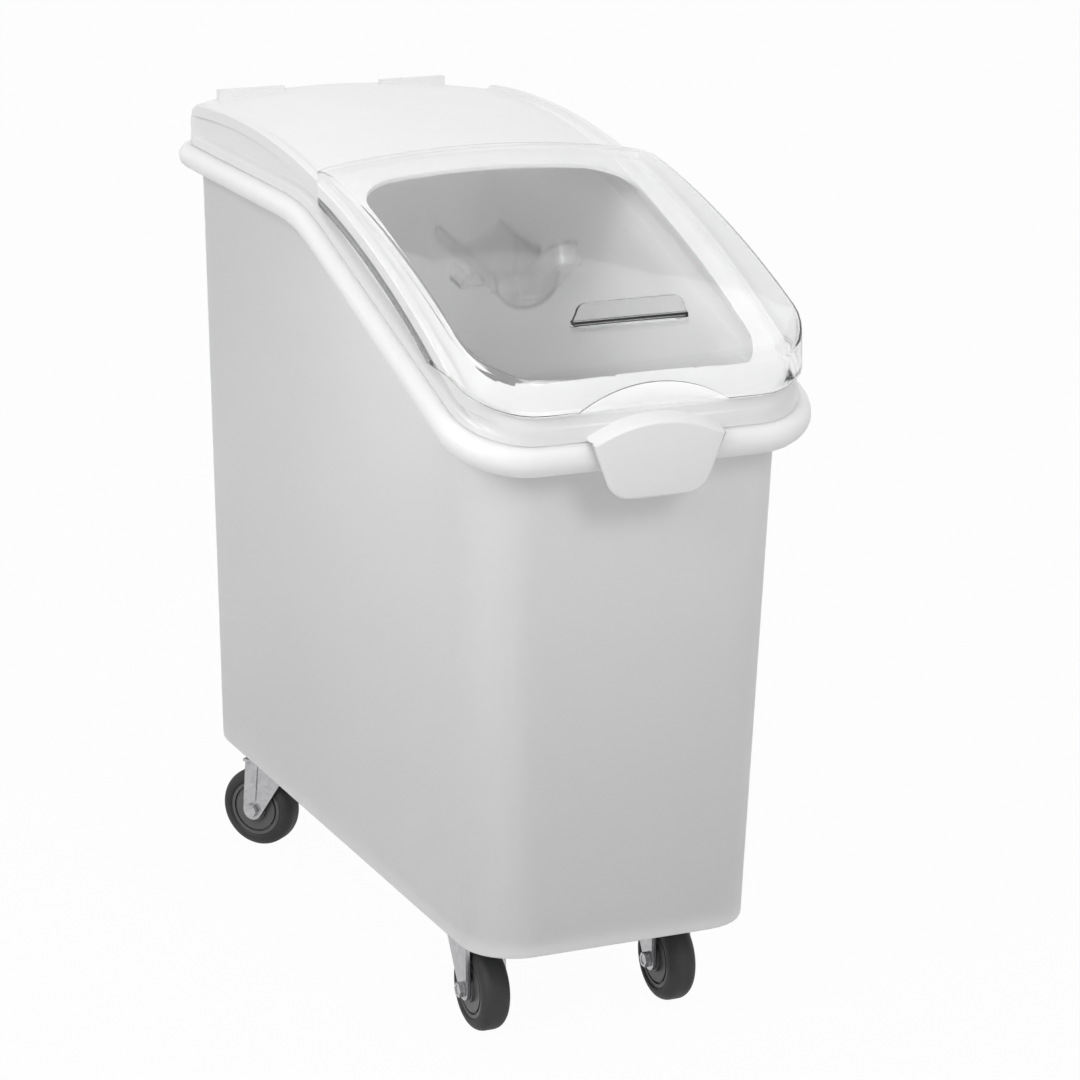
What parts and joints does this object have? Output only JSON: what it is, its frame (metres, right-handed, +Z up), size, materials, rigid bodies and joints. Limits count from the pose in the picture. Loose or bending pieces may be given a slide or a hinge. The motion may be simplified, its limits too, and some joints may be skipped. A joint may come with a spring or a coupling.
{
  "type": "rolling flour bin",
  "caption": "Wheeled ingredient bin: tall tapered white tub with a sloping front, arched lid frame, clear lid that slides back on rails, hanging scoop and swivel casters.",
  "frame": {"origin": "on the floor under the middle of the tub's rim", "axes": "+Z up, -Y to the front where the lid opens, +X to the right as seen from the front"},
  "size_m": [0.33, 0.737, 0.7302],
  "materials": {
    "tub_white": "satin moulded polyethylene",
    "frame_white": "semi-gloss moulded plastic",
    "clear_plastic": "clear moulded plastic",
    "hook_clear": "clear moulded plastic",
    "scoop_clear": "clear moulded plastic",
    "zinc_steel": "zinc plated pressed steel",
    "race_steel": "dark plated steel",
    "bush_nylon": "plain nylon",
    "hub_grey": "satin grey plastic",
    "tyre_rubber": "matt dark grey rubber"
  },
  "bodies": {
    "bin": {"tub": "tub_white", "scoop_hook": "hook_clear", "plate_bolts": "zinc_steel", "plate_nuts": "zinc_steel", "front_left_plate": "zinc_steel", "front_left_race": "race_steel", "front_left_king_pin": "zinc_steel", "front_right_plate": "zinc_steel", "front_right_race": "race_steel", "front_right_king_pin": "zinc_steel", "rear_left_plate": "zinc_steel", "rear_left_race": "race_steel", "rear_left_king_pin": "zinc_steel", "rear_right_plate": "zinc_steel", "rear_right_race": "race_steel", "rear_right_king_pin": "zinc_steel"},
    "frame": {"lid_frame": "frame_white"},
    "lid": {"sliding_lid": "clear_plastic"},
    "scoop": {"scoop": "scoop_clear"},
    "front_left_swivel": {"front_left_fork": "zinc_steel", "front_left_axle_bolt": "zinc_steel", "front_left_axle_nut": "zinc_steel", "front_left_bush": "bush_nylon"},
    "front_left_wheel": {"front_left_hub": "hub_grey", "front_left_tyre": "tyre_rubber"},
    "front_right_swivel": {"front_right_fork": "zinc_steel", "front_right_axle_bolt": "zinc_steel", "front_right_axle_nut": "zinc_steel", "front_right_bush": "bush_nylon"},
    "front_right_wheel": {"front_right_hub": "hub_grey", "front_right_tyre": "tyre_rubber"},
    "rear_left_swivel": {"rear_left_fork": "zinc_steel", "rear_left_axle_bolt": "zinc_steel", "rear_left_axle_nut": "zinc_steel", "rear_left_bush": "bush_nylon"},
    "rear_left_wheel": {"rear_left_hub": "hub_grey", "rear_left_tyre": "tyre_rubber"},
    "rear_right_swivel": {"rear_right_fork": "zinc_steel", "rear_right_axle_bolt": "zinc_steel", "rear_right_axle_nut": "zinc_steel", "rear_right_bush": "bush_nylon"},
    "rear_right_wheel": {"rear_right_hub": "hub_grey", "rear_right_tyre": "tyre_rubber"}
  },
  "joints": [
    {"name": "frame_lift", "type": "slide", "parent": "bin", "child": "frame", "axis": [0, 0, 1], "range_m": [0, 0.08]},
    {"name": "lid_slide", "type": "hinge", "parent": "frame", "child": "lid", "pos_m": [0, 0.19601, -0.32362], "axis": [-1, 0, 0], "range_deg": [0, 16.5]},
    {"name": "scoop_lift", "type": "slide", "parent": "bin", "child": "scoop", "axis": [0, 0, 1], "range_m": [0, 0.055]},
    {"name": "front_left_turn", "type": "hinge", "parent": "bin", "child": "front_left_swivel", "pos_m": [-0.08801, -0.20002, 0.09], "axis": [0, 0, 1], "continuous": true},
    {"name": "front_left_roll", "type": "hinge", "parent": "front_left_swivel", "child": "front_left_wheel", "pos_m": [-0.08801, -0.22502, 0.038], "axis": [1, 0, 0], "continuous": true},
    {"name": "front_right_turn", "type": "hinge", "parent": "bin", "child": "front_right_swivel", "pos_m": [0.08801, -0.20002, 0.09], "axis": [0, 0, 1], "continuous": true},
    {"name": "front_right_roll", "type": "hinge", "parent": "front_right_swivel", "child": "front_right_wheel", "pos_m": [0.08801, -0.22502, 0.038], "axis": [1, 0, 0], "continuous": true},
    {"name": "rear_left_turn", "type": "hinge", "parent": "bin", "child": "rear_left_swivel", "pos_m": [-0.08801, 0.25302, 0.09], "axis": [0, 0, 1], "continuous": true},
    {"name": "rear_left_roll", "type": "hinge", "parent": "rear_left_swivel", "child": "rear_left_wheel", "pos_m": [-0.1034, 0.27272, 0.038], "axis": [-0.788, -0.6157, 0], "continuous": true},
    {"name": "rear_right_turn", "type": "hinge", "parent": "bin", "child": "rear_right_swivel", "pos_m": [0.08801, 0.25302, 0.09], "axis": [0, 0, 1], "continuous": true},
    {"name": "rear_right_roll", "type": "hinge", "parent": "rear_right_swivel", "child": "rear_right_wheel", "pos_m": [0.09656, 0.22953, 0.038], "axis": [0.9397, 0.342, 0], "continuous": true}
  ]
}
